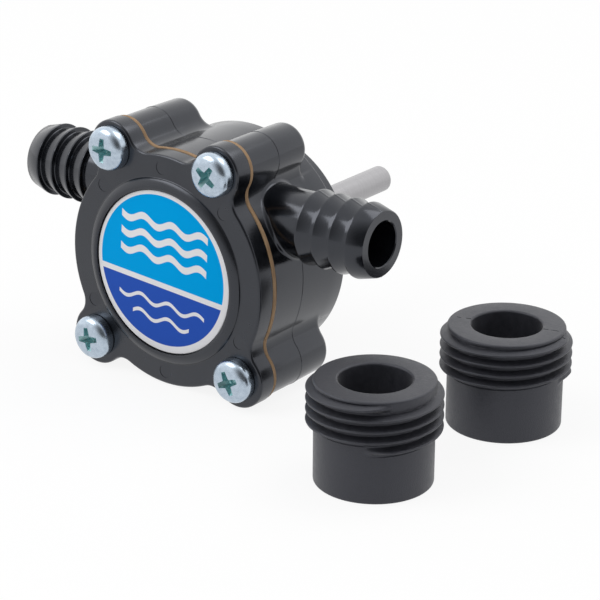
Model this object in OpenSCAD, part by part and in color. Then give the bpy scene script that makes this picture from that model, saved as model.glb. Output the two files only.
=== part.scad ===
// Self-priming drill pump with a flexible vane impeller, and two hose adapters that stand beside it.
// X runs along the two hose barbs, +Y runs out along the drive shaft and +Z is up.
// The origin is on the shaft's axis, in the housing's rear face, where the shaft comes out.

/* [Housing] */
// Radius of the round body
body_r = 25.5; // [24:0.5:30]
// Length of the round body behind the gasket
body_len = 23.6; // [22:0.2:30]
// Radius of the hub behind the body
hub_r = 21.5; // [14:0.5:22]
// Length of the hub behind the body
hub_len = 6.5; // [5:0.5:10]
// Radius of the pump chamber
chamber_r = 19; // [17:0.25:20]
// How deep the seal lies behind the chamber's floor
seal_recess = 0.23; // [0.1:0.01:0.6]
// How far the cam between the ports stands into the chamber
cam_lift = 3.2; // [2:0.2:4]
// Radius of the cam's face
cam_r = 26; // [24:0.5:32]
// Radius of the round edges behind the body and the hub
rear_edge = 0.8; // [0.4:0.1:1.2]

/* [Screw bosses] */
// Radius of the two upper lobes of the cover and the gasket
top_lobe_r = 5.8; // [5.6:0.1:6.5]
// Radius of the two lower lobes, on which the pump rests
low_lobe_r = 6.5; // [5.6:0.1:6.6]
// How much smaller the housing's bosses are than the lobes
boss_inset = 0.5; // [0:0.1:0.6]
// Length of the bosses behind the gasket
boss_len = 18.9; // [16:0.1:21]
// Sideways distance of the upper screws from the axis
top_screw_x = 13.9; // [13:0.1:16]
// Height of the upper screws over the axis
top_screw_z = 24.5; // [23.5:0.1:26]
// Sideways distance of the lower screws from the axis
low_screw_x = 19.3; // [18.5:0.1:21]
// Depth of the lower screws under the axis
low_screw_z = 19.2; // [18.5:0.1:21]
// Radius of the hollow between a boss and the round body
web_r = 4; // [3:0.5:6]
// Radius of the round rear end of a boss
boss_edge = 1.6; // [0.8:0.1:2.4]

/* [Hose barbs] */
// Distance from the shaft's axis to a barb's tip
barb_reach = 45.5; // [43:0.5:60]
// Height of the barbs' axis over the shaft's axis
barb_z = 12.4; // [11:0.1:14]
// Depth of the barbs' axis behind the gasket
barb_depth = 9; // [8.5:0.1:12]
// Radius of the ridges, for hose of half an inch and larger
ridge_r = 8; // [7.5:0.1:9]
// Radius of a barb between its ridges and at its tip
barb_root_r = 7.05; // [6.5:0.05:7.4]
// Number of ridges on a barb
ridge_count = 4; // [3:1:5]
// Distance from one ridge to the next
ridge_pitch = 4.14; // [3.6:0.02:4.4]
// Width of the flat land on top of a ridge
ridge_land = 0.4; // [0.2:0.1:0.8]
// Width of the groove between a ridge's steep side and the next ridge
ridge_groove = 1.1; // [0.5:0.1:1.4]
// Length of the steep side of a ridge
barb_step = 0.15; // [0.1:0.05:0.4]
// Radius of the ports through the barbs
port_r = 4.8; // [4:0.1:5.5]

/* [Cover] */
// Thickness of the cover's flange
cover_t = 4.3; // [4:0.1:6]
// Radius of the raised disc on the cover
disc_r = 20.3; // [19:0.1:22]
// Height of the raised disc over the flange
disc_rise = 1.5; // [1:0.1:2.5]
// Width of the level edge of the disc, outside its dish
disc_rim = 0.8; // [0.7:0.1:1.2]
// Depth of the dish that holds the label
label_recess = 1.2; // [0.6:0.1:1.6]
// Width of the free edge of the dish's floor, round the label
label_margin = 0.3; // [0.2:0.1:0.8]
// Radius of the round edges of the cover
cover_edge = 0.6; // [0.3:0.1:1]
// Radius of the printed label
label_r = 17.8; // [15:0.1:18]
// Thickness of the printed label
label_t = 0.3; // [0.2:0.05:0.5]

/* [Gasket] */
// Thickness of the gasket
gasket_t = 1; // [0.5:0.1:2]
// How far the gasket stands out of the round body
gasket_proud = 0.2; // [0.1:0.1:0.6]

/* [Screws] */
// Radius of a screw's pan head
head_r = 4.75; // [4.2:0.05:5.2]
// Height of a screw's pan head
head_h = 3.4; // [2.8:0.1:4]
// Radius of a screw's shank
screw_r = 2.5; // [2:0.1:2.8]
// Length of a screw under its head
screw_len = 16; // [12:0.5:20]
// Room between a screw's tip and the bottom of its hole
screw_room = 1.5; // [0.5:0.1:3]
// Length of a recess's arm from tip to tip
cross_l = 5; // [4:0.1:6]
// Width of a recess's arm at the top
cross_w = 1.15; // [0.8:0.05:1.4]
// Depth of the cross recess
cross_d = 2.1; // [1.5:0.1:2.5]

/* [Drive shaft] */
// Radius of the drive shaft
shaft_r = 3; // [2.5:0.25:3.5]
// Length of the shaft outside the housing
shaft_free = 42; // [25:1:60]
// Chamfer at the shaft's ends
shaft_chamfer = 0.5; // [0.2:0.1:1]
// Depth of the flat that drives the impeller
shaft_flat = 0.7; // [0.5:0.1:1]
// Depth of the grooves for the retaining clips
groove_d = 0.45; // [0.3:0.05:0.6]
// Thickness of the retaining clips
clip_t = 0.8; // [0.6:0.1:1]
// Radial width of the retaining clips
clip_w = 1.9; // [1.4:0.1:2.2]
// Half the angle of a retaining clip's mouth
clip_mouth = 30; // [20:1:40]

/* [Impeller] */
// Number of vanes
vane_count = 6; // [5:1:8]
// Radius of the rubber hub
rotor_hub_r = 7; // [6.5:0.1:7.5]
// Thickness of a vane
vane_t = 2; // [1.5:0.1:2.4]
// Radius of the bulb at a vane's tip
bulb_r = 1.6; // [1.3:0.1:1.8]
// How much longer than the chamber's radius a relaxed vane is
vane_squeeze = 0.15; // [0.1:0.05:0.4]
// Gap between a vane's bulb and the chamber's wall
bulb_gap = 0.15; // [0.1:0.05:0.3]
// Turn of the vanes from a place where they lie evenly about the top
vane_turn = 9; // [0:1:20]
// Radius of the metal insert
insert_r = 5; // [4.7:0.1:5.4]
// How far the metal insert lies inside the rubber hub at each end
insert_set = 1.75; // [1.2:0.05:3]

/* [Seal and bearings] */
// Outer radius of the shaft seal's case
seal_r = 8; // [7.5:0.1:9]
// Length of the shaft seal
seal_len = 4.2; // [3.5:0.1:4.6]
// Wall of the seal's case
seal_wall = 0.6; // [0.4:0.1:0.8]
// Width of the lip's edge on the shaft
lip_edge = 0.3; // [0.2:0.05:0.5]
// Radius of the garter spring's wire ring
spring_r = 0.45; // [0.3:0.05:0.6]
// Outer radius of the rear bush
rear_bush_r = 5; // [4.5:0.1:5.5]
// Length of the rear bush
rear_bush_len = 3.8; // [3:0.1:4]
// Outer radius of the front bush
front_bush_r = 4.5; // [4.2:0.1:5]
// Length of the front bush
front_bush_len = 2.8; // [2:0.1:3]
// Outer radius of the thrust washer
washer_r = 5.6; // [5.1:0.1:6]
// Thickness of the thrust washer
washer_t = 0.5; // [0.4:0.05:0.7]
// Outer radius of the rubber slinger ring
slinger_r = 5.2; // [4.6:0.1:5.5]
// Thickness of the rubber slinger ring
slinger_t = 0.8; // [0.5:0.1:1]

/* [Hose adapters] */
// Height of an adapter
adapter_h = 21.4; // [18:0.2:30]
// Radius of an adapter's sleeve
sleeve_r = 11.9; // [11:0.1:12]
// Radius of the hole through an adapter
adapter_bore_r = 7.25; // [6.5:0.05:7.8]
// Crest radius of the hose thread
thread_r = 13.5; // [13:0.05:14]
// Root radius of the hose thread
thread_root_r = 12.1; // [12:0.05:12.5]
// Pitch of the hose thread, at 11.5 threads an inch
thread_pitch = 2.21; // [2:0.01:2.4]
// Number of thread ridges
thread_count = 4; // [3:1:5]
// Distance from the top of an adapter to its first ridge
thread_lead = 0.6; // [0.6:0.1:1.6]
// Radius of the round edge at the mouth of the hole
mouth_edge = 1; // [0.5:0.1:1.5]
// Radius of the round edges round an adapter's foot and top
foot_edge = 0.5; // [0.3:0.1:0.8]
// Place of the near adapter along X
near_x = 61.5; // [61:0.1:90]
// Place of the near adapter along Y
near_y = -45.3; // [-60:0.1:-42]
// Place of the far adapter along X
far_x = 66.3; // [61:0.1:90]
// Place of the far adapter along Y
far_y = -6.3; // [-12:0.1:20]

/* [Hidden] */
$fn = 72;

// Overrun of every cut
over = 1;
// Radial gap of a pressed or bonded piece
seat_gap = 0.02;
// Radial gap of the shaft in its bushes
run_gap = 0.03;
// Gap between the turning parts and the fixed ones
safe_gap = 0.3;
// Radial gap of a screw in its holes
screw_gap = 0.1;
// How far a web's hollow cuts into the round shapes that it joins
web_seat = 0.02;

// Share of a screw head's height for its upright rim
rim_share = 0.42;
// Shares of the clip's width for a lug's radius and for its centre's distance from the outer edge
lug_share = 0.56;
lug_set_share = 0.36;
// Share of a lug for the hole that the pliers take
lug_hole_share = 0.45;
// Share of the chamber's radius at which the ports begin
port_start_share = 0.5;
// Shares of the thread's pitch for a ridge's crest and for half its foot
crest_share = 0.2;
foot_share = 0.42;
// Least and most turn of a vane along its length, the step between tries, and where its arc begins
bend_least = 6;
bend_most = 150;
bend_step = 2;
arc_start = 2;

// Levels along the axis, from the rear face of the hub towards the cover
body_back = hub_len;
body_front = body_back + body_len;
cover_back = body_front + gasket_t;
cover_front = cover_back + cover_t;
disc_front = cover_front + disc_rise;
label_back = disc_front - label_recess;
boss_back = body_front - boss_len;
barb_level = body_front - barb_depth;
floor_z = -max(low_screw_z + low_lobe_r, body_r + gasket_proud);
screw_depth = screw_len - cover_t - gasket_t + screw_room;

// The stack in the hub, from its rear face
washer_gap = 0.15;
clip_back = 0.9;
washer_back = clip_back + clip_t + seat_gap;
bush_back = washer_back + washer_t + washer_gap;
bush_front = bush_back + rear_bush_len;
slinger_room = slinger_t + 2 * safe_gap;
seal_back = bush_front + slinger_room;
chamber_back = seal_back + seal_len + seal_recess;
chamber_depth = body_front - chamber_back;
seal_pocket_r = seal_r + seat_gap;
recess_r = washer_r + safe_gap;
slinger_cave_r = slinger_r + safe_gap;

// The impeller lies in the middle of the chamber
rotor_back = chamber_back + safe_gap;
rotor_front = cover_back - safe_gap;
insert_back = rotor_back + insert_set;
insert_front = rotor_front - insert_set;
insert_len = insert_front - insert_back;
groove_r = shaft_r - groove_d;
clip_r = groove_r + clip_w;
shaft_front = cover_back + front_bush_len - safe_gap;
cam_drop = cam_r - chamber_r + cam_lift;
vane_len = chamber_r + vane_squeeze - bulb_r - rotor_hub_r;
vane_step = 360 / vane_count;
top_angle = 90;
first_vane = top_angle - vane_step / 2 + vane_turn;

// The ports begin inside the chamber, beside the cam
port_inner_x = chamber_r * port_start_share;

// Place of each screw, radius of the lobe under it and turn of its recess
SCREWS = [[-top_screw_x, top_screw_z], [top_screw_x, top_screw_z],
    [-low_screw_x, -low_screw_z], [low_screw_x, -low_screw_z]];
LOBES = [top_lobe_r, top_lobe_r, low_lobe_r, low_lobe_r];
SCREW_TURNS = [15, 45, 8, 15];

plastic = "#2e2f31";
rubber = "#3a3b3d";
steel = "#b9b7b6";
zinc = "#cfe3ea";
brass = "#b5934f";
bronze = "#a87c4c";

// Sets a shape that is drawn as seen from the front upright, with its Z towards the cover
module face_front() {
    rotate([90, 0, 0]) children();
}

// A ring from one radius to another between two levels
module ring(r_in, r_out, z0, z1) {
    translate([0, 0, z0])
        difference() {
            cylinder(r = r_out, h = z1 - z0);
            translate([0, 0, -over]) cylinder(r = r_in, h = z1 - z0 + 2 * over);
        }
}

// Half the section of a round slab with its outer edges rounded by e0 below and e1 above
module slab_section(r, t, e0, e1) {
    hub = r - max(e0, e1);
    square([hub, t]);
    translate([0, e0]) square([r, t - e0 - e1]);
    if (e0 > 0)
        intersection() {
            translate([r - e0, e0]) circle(r = e0);
            square([r, e0]);
        }
    if (e1 > 0)
        intersection() {
            translate([r - e1, t - e1]) circle(r = e1);
            translate([0, t - e1]) square([r, e1]);
        }
    if (e0 > 0) square([r - e0, t - e1]);
    if (e1 > 0) translate([0, e0]) square([r - e1, t - e0]);
}

module slab(r, t, e0 = 0, e1 = 0) {
    rotate_extrude() slab_section(r, t, e0, e1);
}

// Centre of a circle of radius rf that touches the round body and the boss at p from outside
function web_centre(p, rb, rl, rf, side) =
    let (d = norm(p), a = rb + rf, b = rl + rf, u = (a * a - b * b + d * d) / (2 * d),
        v = sqrt(a * a - u * u), along = p / d, across = [-along[1], along[0]] * side)
    along * u + across * v;

// A web between the round body and one boss, hollowed by a circle, with its upper edge rounded by e1
module web(p, rb, rl, t, e1) {
    for (side = [-1, 1]) {
        c = web_centre(p, rb, rl, web_r, side);
        difference() {
            linear_extrude(t) polygon([[0, 0], p, c]);
            translate([c[0], c[1], -over]) cylinder(r = web_r + web_seat, h = t + 2 * over);
            if (e1 > 0)
                translate([c[0], c[1], t - e1]) rotate_extrude() hollow_edge(web_r + web_seat, e1);
        }
    }
}

// Section of the cut that rounds the edge of a hollow of radius r
module hollow_edge(r, e) {
    difference() {
        square([r + e, e + over]);
        translate([r + e, 0]) circle(r = e);
    }
}

// A lobed plate: a round body with four lobes, its upper edge rounded by e1
module lobed_plate(rb, t, e1 = 0) {
    slab(rb, t, 0, e1);
    for (i = [0 : len(SCREWS) - 1]) {
        translate([SCREWS[i][0], SCREWS[i][1], 0]) slab(LOBES[i], t, 0, e1);
        web(SCREWS[i], rb, LOBES[i], t, e1);
    }
}

// The four bosses behind the gasket, with the webs that join them to the round body
module bosses() {
    translate([0, 0, boss_back])
        for (i = [0 : len(SCREWS) - 1]) {
            r = LOBES[i] - boss_inset;
            translate([SCREWS[i][0], SCREWS[i][1], 0]) slab(r, boss_len, boss_edge, 0);
            web(SCREWS[i], body_r, r, boss_len, 0);
        }
}

// A hole at each screw
module screw_holes(r, z0, z1) {
    for (p = SCREWS)
        translate([p[0], p[1], z0]) cylinder(r = r, h = z1 - z0);
}

// One hose barb along +X, from the shaft's axis to its tip, without its port
module barb() {
    slope = ridge_pitch - ridge_land - barb_step;
    rotate([0, 90, 0]) {
        cylinder(r = barb_root_r, h = barb_reach);
        for (i = [0 : ridge_count - 1]) {
            x = barb_reach - slope - i * ridge_pitch;
            front = i == 0 ? slope : slope - ridge_groove;
            translate([0, 0, x]) cylinder(r1 = ridge_r, r2 = barb_root_r, h = front);
            translate([0, 0, x - ridge_land]) cylinder(r = ridge_r, h = ridge_land);
            translate([0, 0, x - ridge_land - barb_step]) cylinder(r1 = barb_root_r, r2 = ridge_r, h = barb_step);
        }
    }
}

module barbs() {
    for (side = [0, 1])
        mirror([side, 0, 0]) translate([0, barb_z, barb_level]) barb();
}

// The ports run in from the tips to the cam's land and open into the chamber
module ports() {
    for (side = [0, 1])
        mirror([side, 0, 0])
            translate([port_inner_x, barb_z, barb_level]) rotate([0, 90, 0])
                cylinder(r = port_r, h = barb_reach - port_inner_x + over);
}

// The chamber, less the cam that stands between the ports
module chamber() {
    translate([0, 0, chamber_back])
        intersection() {
            cylinder(r = chamber_r, h = chamber_depth + over);
            translate([0, -cam_drop, 0]) cylinder(r = cam_r, h = chamber_depth + over);
        }
}

module pump_housing() {
    color(plastic)
        face_front()
            difference() {
                union() {
                    translate([0, 0, body_back]) slab(body_r, body_len, rear_edge, 0);
                    slab(hub_r, hub_len + over, rear_edge, 0);
                    bosses();
                    barbs();
                }
                chamber();
                ports();
                screw_holes(screw_r + screw_gap, body_front - screw_depth, body_front + over);
                translate([0, 0, seal_back]) cylinder(r = seal_pocket_r, h = chamber_back - seal_back + over);
                translate([0, 0, bush_front]) cylinder(r = slinger_cave_r, h = seal_back - bush_front + over);
                translate([0, 0, bush_back - over]) cylinder(r = rear_bush_r + seat_gap, h = rear_bush_len + 2 * over);
                translate([0, 0, -over]) cylinder(r = recess_r, h = bush_back + over);
            }
}

// The dish in the disc: a level floor for the label, a sloping rim and its overrun
module dish() {
    cylinder(r1 = label_r + label_margin, r2 = disc_r - disc_rim, h = label_recess);
    translate([0, 0, label_recess]) cylinder(r = disc_r - disc_rim, h = over);
}

module front_cover() {
    color(plastic)
        face_front()
            difference() {
                union() {
                    translate([0, 0, cover_back]) lobed_plate(body_r, cover_t, cover_edge);
                    translate([0, 0, cover_back]) slab(disc_r, cover_t + disc_rise, 0, cover_edge);
                }
                translate([0, 0, label_back]) dish();
                translate([0, 0, cover_back - over])
                    cylinder(r = front_bush_r + seat_gap, h = front_bush_len + over + seat_gap);
                screw_holes(screw_r + screw_gap, cover_back - over, cover_front + over);
            }
}

module cover_label() {
    color("#00a0e0")
        face_front()
            translate([0, 0, label_back]) cylinder(r = label_r, h = label_t);
}

module cover_gasket() {
    color("#a08060")
        face_front()
            translate([0, 0, body_front])
                difference() {
                    lobed_plate(body_r + gasket_proud, gasket_t);
                    translate([0, 0, -over]) cylinder(r = chamber_r, h = gasket_t + 2 * over);
                    screw_holes(screw_r + screw_gap, -over, gasket_t + over);
                }
}

// A pan head screw with a cross recess, its head's underside at zero and its shank downwards
module pan_screw() {
    difference() {
        union() {
            rotate_extrude() pan_section();
            translate([0, 0, -screw_len]) cylinder(r = screw_r, h = screw_len + over);
        }
        for (turn = [0, 90])
            rotate([0, 0, turn]) cross_arm();
        translate([0, 0, head_h - cross_d]) cylinder(r1 = cross_w / 2, r2 = cross_w, h = cross_d + over);
    }
}

// Half the section of the pan head: a short upright rim under a flat dome
module pan_section() {
    rim = head_h * rim_share;
    dome = head_h - rim;
    dome_r = (head_r * head_r + dome * dome) / (2 * dome);
    square([head_r, rim]);
    intersection() {
        translate([0, head_h - dome_r]) circle(r = dome_r);
        translate([0, rim - seat_gap]) square([head_r, dome + seat_gap]);
    }
}

// One arm of the cross recess, with sloping ends
module cross_arm() {
    translate([0, cross_w / 2, head_h])
        rotate([90, 0, 0])
            linear_extrude(cross_w)
                polygon([[-cross_l / 2, over], [cross_l / 2, over], [cross_l / 2, 0],
                    [cross_l / 4, -cross_d], [-cross_l / 4, -cross_d], [-cross_l / 2, 0]]);
}

module cover_screws() {
    color(zinc)
        face_front()
            for (i = [0 : len(SCREWS) - 1])
                translate([SCREWS[i][0], SCREWS[i][1], cover_front]) rotate([0, 0, SCREW_TURNS[i]]) pan_screw();
}

module front_bush() {
    color(bronze)
        face_front()
            ring(shaft_r + run_gap, front_bush_r, cover_back, cover_back + front_bush_len);
}

module rear_bush() {
    color(bronze)
        face_front()
            ring(shaft_r + run_gap, rear_bush_r, bush_back, bush_front);
}

// The seal's case: a cup with an inward flange at its back
module seal_case() {
    color(steel)
        face_front() {
            ring(seal_r - seal_wall, seal_r, seal_back, seal_back + seal_len);
            ring(shaft_r + 2 * seal_wall, seal_r, seal_back, seal_back + seal_wall);
        }
}

// The rubber lip: bonded to the case, it runs in towards the shaft and forwards to its edge
module seal_lip() {
    inner = seal_r - seal_wall - seat_gap;
    foot = seal_back + seal_wall + seat_gap;
    neck = shaft_r + 2 * seal_wall;
    tip = seal_back + seal_len - lip_edge;
    color("#5b3a33")
        face_front()
            rotate_extrude()
                polygon([[inner, foot], [inner, foot + seal_wall], [neck + seal_wall, foot + seal_wall],
                    [neck, tip - 4 * spring_r], [neck, tip], [shaft_r + run_gap + lip_edge, tip],
                    [shaft_r + run_gap, tip - 2 * spring_r], [neck - seal_wall, foot]]);
}

module garter_spring() {
    ring_r = shaft_r + 2 * seal_wall + seat_gap + spring_r;
    color(steel)
        face_front()
            translate([0, 0, seal_back + seal_len - lip_edge - 2 * spring_r])
                rotate_extrude() translate([ring_r, 0]) circle(r = spring_r);
}

// A groove round the shaft for a clip whose rear side is at level z
module clip_groove(z) {
    ring(groove_r, shaft_r + over, z, z + clip_t + seat_gap);
}

// What is cut off the shaft for its flat
module flat_cut(gap) {
    translate([-shaft_r - over, shaft_r - shaft_flat + gap, insert_back])
        cube([2 * (shaft_r + over), shaft_flat + over, insert_len]);
}

module drive_shaft() {
    total = shaft_free + shaft_front;
    color(steel)
        face_front()
            difference() {
                translate([0, 0, -shaft_free]) {
                    translate([0, 0, shaft_chamfer]) cylinder(r = shaft_r, h = total - 2 * shaft_chamfer);
                    cylinder(r1 = shaft_r - shaft_chamfer, r2 = shaft_r, h = shaft_chamfer);
                    translate([0, 0, total - shaft_chamfer])
                        cylinder(r1 = shaft_r, r2 = shaft_r - shaft_chamfer, h = shaft_chamfer);
                }
                flat_cut(0);
                clip_groove(clip_back);
                clip_groove(insert_back - clip_t - seat_gap);
                clip_groove(insert_front);
            }
}

// An open retaining ring with a lug at each end
module retaining_clip() {
    lug_r = clip_w * lug_share;
    lug_at = clip_r - clip_w * lug_set_share;
    difference() {
        ring(groove_r + seat_gap, clip_r, 0, clip_t);
        linear_extrude(3 * clip_t, center = true)
            polygon([[0, 0], 2 * clip_r * [cos(clip_mouth), sin(clip_mouth)],
                2 * clip_r * [cos(clip_mouth), -sin(clip_mouth)]]);
    }
    for (side = [-1, 1])
        rotate([0, 0, side * clip_mouth]) translate([lug_at, 0, 0])
            difference() {
                cylinder(r = lug_r, h = clip_t);
                translate([0, 0, -over]) cylinder(r = lug_r * lug_hole_share, h = clip_t + 2 * over);
            }
}

module shaft_clip() {
    color(steel)
        face_front()
            translate([0, 0, clip_back]) retaining_clip();
}

module impeller_clip_front() {
    color(steel)
        face_front()
            translate([0, 0, insert_front + seat_gap / 2]) retaining_clip();
}

module impeller_clip_rear() {
    color(steel)
        face_front()
            translate([0, 0, insert_back - clip_t - seat_gap / 2]) retaining_clip();
}

module thrust_washer() {
    color(steel)
        face_front()
            ring(shaft_r + seat_gap, washer_r, washer_back, washer_back + washer_t);
}

module slinger_ring() {
    color(rubber)
        face_front()
            ring(shaft_r + seat_gap, slinger_r, bush_front + safe_gap, bush_front + safe_gap + slinger_t);
}

module impeller_insert() {
    color(brass)
        face_front()
            difference() {
                translate([0, 0, insert_back]) cylinder(r = insert_r, h = insert_len);
                difference() {
                    translate([0, 0, insert_back - over])
                        cylinder(r = shaft_r + seat_gap, h = insert_len + 2 * over);
                    flat_cut(seat_gap);
                }
            }
}

// Distance from the shaft's axis to the chamber's wall or the cam at an angle
function wall_at(a) = min(chamber_r, sqrt(cam_r ^ 2 - (cam_drop * cos(a)) ^ 2) - cam_drop * sin(a));

// Place of the tip of a vane that leaves the hub at angle a and curls back by bend degrees
function vane_tip(a, bend) =
    let (rad = bend * PI / 180, out = rotor_hub_r + vane_len * sin(bend) / rad,
        aside = vane_len * (1 - cos(bend)) / rad)
    [out * cos(a) + aside * sin(a), out * sin(a) - aside * cos(a)];

// Least bend, in steps, at which the vane's bulb clears the wall
function vane_bend(a, bend = bend_least) =
    let (tip = vane_tip(a, bend), reach = norm(tip) + bulb_r + bulb_gap)
    reach <= wall_at(atan2(tip[1], tip[0])) || bend > bend_most ? bend : vane_bend(a, bend + bend_step);

// One vane, an arc of constant length from the hub to its bulb
module vane(a) {
    bend = vane_bend(a);
    r = vane_len * 180 / PI / bend;
    tip = vane_tip(0, bend);
    far = 4 * (r + vane_t);
    rotate([0, 0, a]) {
        translate([rotor_hub_r, -r])
            intersection() {
                difference() {
                    circle(r = r + vane_t / 2);
                    circle(r = r - vane_t / 2);
                }
                polygon([[0, 0], far * [sin(-arc_start), cos(-arc_start)],
                    far * [sin(bend / 2), cos(bend / 2)], far * [sin(bend), cos(bend)]]);
            }
        translate([rotor_hub_r - vane_t, -vane_t / 2]) square([vane_t, vane_t]);
        translate(tip) circle(r = bulb_r);
    }
}

module impeller() {
    color("#2a2b2c")
        face_front()
            difference() {
                translate([0, 0, rotor_back]) linear_extrude(rotor_front - rotor_back) {
                    circle(r = rotor_hub_r);
                    for (i = [0 : vane_count - 1]) vane(first_vane + i * vane_step);
                }
                translate([0, 0, rotor_back - over])
                    cylinder(r = insert_r + seat_gap, h = rotor_front - rotor_back + 2 * over);
            }
}

// One thread ridge with sloping flanks, as half a section
module ridge_section(z) {
    crest = thread_pitch * crest_share;
    foot = thread_pitch * foot_share;
    polygon([[thread_root_r - over, z - foot], [thread_root_r, z - foot], [thread_r, z - crest / 2],
        [thread_r, z + crest / 2], [thread_root_r, z + foot], [thread_root_r - over, z + foot]]);
}

// An adapter that stands on the floor: a soft sleeve with a hose thread at its top
module hose_adapter() {
    first = adapter_h - thread_lead - thread_pitch / 2;
    last = first - (thread_count - 1) * thread_pitch;
    difference() {
        rotate_extrude() {
            slab_section(sleeve_r, adapter_h, foot_edge, foot_edge);
            translate([0, last - thread_pitch / 2]) square([thread_root_r, thread_count * thread_pitch]);
            for (i = [0 : thread_count - 1]) ridge_section(first - i * thread_pitch);
        }
        translate([0, 0, -over]) cylinder(r = adapter_bore_r, h = adapter_h + 2 * over);
        translate([0, 0, adapter_h - mouth_edge]) rotate_extrude() hollow_edge(adapter_bore_r, mouth_edge);
    }
}

module hose_adapter_near() {
    color(rubber)
        translate([near_x, near_y, floor_z]) hose_adapter();
}

module hose_adapter_far() {
    color(rubber)
        translate([far_x, far_y, floor_z]) hose_adapter();
}

pump_housing();
front_cover();
cover_label();
cover_gasket();
cover_screws();
front_bush();
rear_bush();
seal_case();
seal_lip();
garter_spring();
drive_shaft();
impeller();
impeller_insert();
impeller_clip_front();
impeller_clip_rear();
slinger_ring();
thrust_washer();
shaft_clip();
hose_adapter_near();
hose_adapter_far();
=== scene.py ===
"""Looks of a small drill-driven transfer pump, with two hose adapters standing beside it.

Sizes are in millimetres and are turned into metres where a point is placed. The pump's axis is Y: its
cover faces -Y and its shaft runs out along +Y. A level is a distance from the hub's rear face towards
the cover. X runs along the hose barbs and Z is up.
"""

import logging
import math
from collections.abc import Sequence
from dataclasses import dataclass, field, replace
from enum import Enum

import bmesh
import bpy
from mathutils import Matrix, Vector


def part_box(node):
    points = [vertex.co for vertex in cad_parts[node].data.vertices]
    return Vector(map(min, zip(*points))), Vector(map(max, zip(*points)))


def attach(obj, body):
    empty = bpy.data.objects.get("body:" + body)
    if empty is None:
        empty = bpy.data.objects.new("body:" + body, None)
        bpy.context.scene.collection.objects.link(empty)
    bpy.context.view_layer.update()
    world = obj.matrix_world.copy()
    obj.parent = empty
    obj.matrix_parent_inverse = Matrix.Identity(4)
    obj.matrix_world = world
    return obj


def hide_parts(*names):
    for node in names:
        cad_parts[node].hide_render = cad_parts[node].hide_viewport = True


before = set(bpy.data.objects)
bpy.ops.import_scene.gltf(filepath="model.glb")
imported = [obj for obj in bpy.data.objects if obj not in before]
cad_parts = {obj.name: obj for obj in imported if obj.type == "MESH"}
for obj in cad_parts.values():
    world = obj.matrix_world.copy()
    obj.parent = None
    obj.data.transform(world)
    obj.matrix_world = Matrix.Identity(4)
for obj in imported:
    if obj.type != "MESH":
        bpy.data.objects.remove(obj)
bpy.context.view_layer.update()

Ring = list[Vector]
Flat = tuple[float, float]
Piece = bpy.types.Object
Tree = bpy.types.NodeTree
Socket = bpy.types.NodeSocket

log = logging.getLogger("pump")
MM = 0.001
TURN = 2 * math.pi
X, Y, Z = Vector((1, 0, 0)), Vector((0, 1, 0)), Vector((0, 0, 1))
# How far a cutter runs past the face that it cuts
OVER = 1.0
# Steps of a small rounded edge
EDGE_STEPS = 5
# Corners nearer to each other than this, in millimetres, are made one
WELD = 0.001
# Edges that bend less than this many degrees are shaded smooth
CREASE = 32.0


class Combine(Enum):
    """What one solid does to another."""

    CUT = "DIFFERENCE"
    JOIN = "UNION"


def srgb(code: str) -> tuple[float, float, float, float]:
    """Turns an sRGB hex colour into the linear colour that a shader takes.

    Args:
        code: Six hex digits after a hash.

    Returns:
        Linear red, green, blue and an alpha of one.
    """
    parts = [int(code[i : i + 2], 16) / 255 for i in (1, 3, 5)]
    linear = [c / 12.92 if c <= 0.04045 else ((c + 0.055) / 1.055) ** 2.4 for c in parts]
    return (linear[0], linear[1], linear[2], 1.0)


def deselect_all() -> None:
    """Leaves edit mode and deselects every object."""
    if bpy.context.object and bpy.context.object.mode != "OBJECT":
        bpy.ops.object.mode_set(mode="OBJECT")
    bpy.ops.object.select_all(action="DESELECT")


def choose(piece: Piece) -> None:
    """Makes one object the only selected and active one.

    Args:
        piece: The object.
    """
    deselect_all()
    piece.select_set(True)
    bpy.context.view_layer.objects.active = piece


def smooth(piece: Piece, angle: float = CREASE) -> None:
    """Turns all faces outwards and shades the flatter edges smooth.

    Args:
        piece: The object.
        angle: Edges flatter than this, in degrees, are shaded smooth.
    """
    choose(piece)
    bpy.ops.object.mode_set(mode="EDIT")
    bpy.ops.mesh.select_all(action="SELECT")
    bpy.ops.mesh.normals_make_consistent(inside=False)
    bpy.ops.object.mode_set(mode="OBJECT")
    bpy.ops.object.shade_smooth_by_angle(angle=math.radians(angle))


def combine(piece: Piece, other: Piece, how: Combine) -> None:
    """Joins another solid to a piece or cuts it away, and removes the other solid.

    Args:
        piece: The solid that stays.
        other: The solid that is used up.
        how: Whether the other solid is joined or cut away.
    """
    modifier = piece.modifiers.new("combine", "BOOLEAN")
    modifier.operation = how.value
    modifier.object = other
    modifier.solver = "EXACT"
    choose(piece)
    bpy.ops.object.modifier_apply(modifier=modifier.name)
    bpy.data.objects.remove(other)


def join_pieces(pieces: Sequence[Piece], name: str) -> Piece:
    """Joins objects into one mesh.

    Args:
        pieces: The objects, of which the first one stays.
        name: Name of the joined object.

    Returns:
        The joined object.
    """
    deselect_all()
    for piece in pieces:
        piece.select_set(True)
    bpy.context.view_layer.objects.active = pieces[0]
    bpy.ops.object.join()
    pieces[0].name = name
    return pieces[0]


def finish_piece(piece: Piece, body: str, nodes: Sequence[str], finish: "Finish") -> None:
    """Dresses a piece and ties it to the frame.

    Args:
        piece: The modelled piece.
        body: The body that it moves with.
        nodes: The solids that it stands for.
        finish: Its surface.
    """
    if not piece.data.materials:
        piece.data.materials.append(finish.material())
    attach(piece, body)
    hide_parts(*nodes)
    log.info("%s: %d faces, on %s", piece.name, len(piece.data.polygons), body)


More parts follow.
